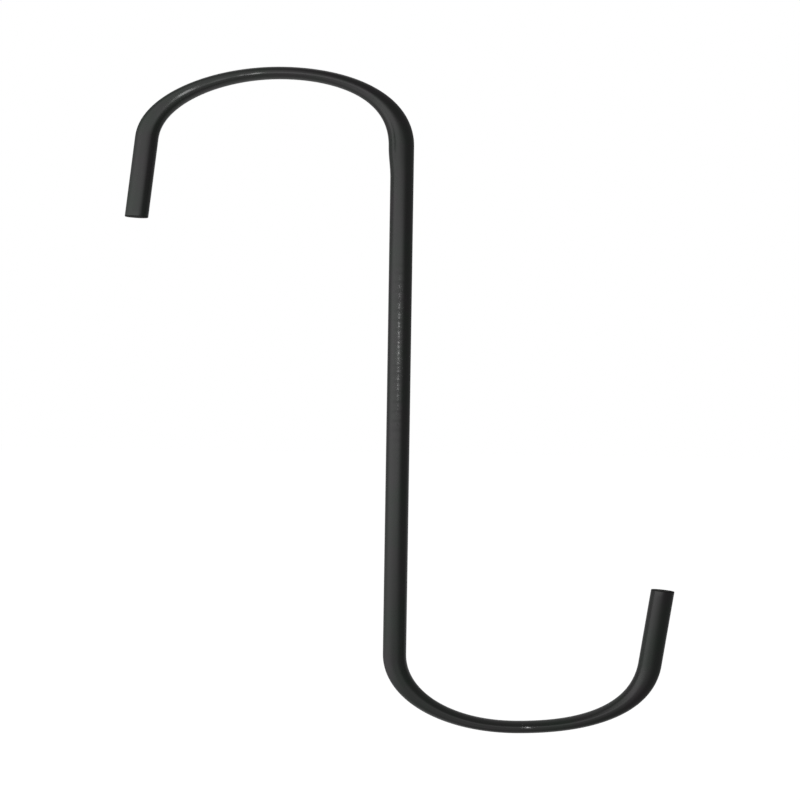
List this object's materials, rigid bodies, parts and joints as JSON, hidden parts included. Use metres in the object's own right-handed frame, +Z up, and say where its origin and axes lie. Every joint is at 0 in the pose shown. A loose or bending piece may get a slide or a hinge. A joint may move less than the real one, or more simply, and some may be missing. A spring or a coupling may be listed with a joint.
{
  "type": "s hook",
  "caption": "Coated steel rod bent into a flat S: the upper bend hangs over a rail or branch and the lower bend carries a hanging load.",
  "frame": {"origin": "underside of the upper bend's crown, in the middle of the rod's depth, where the hook hangs on its rail", "axes": "+Z up along the straight shank, +X from the upper bend towards the lower bend's leg, Y across the plane of the hook"},
  "size_m": [0.2561, 0.0108, 0.3052],
  "materials": {
    "black_coat": "satin black powder coat with a fine orange peel"
  },
  "bodies": {
    "root": {"s_hook": "black_coat"}
  },
  "joints": []
}
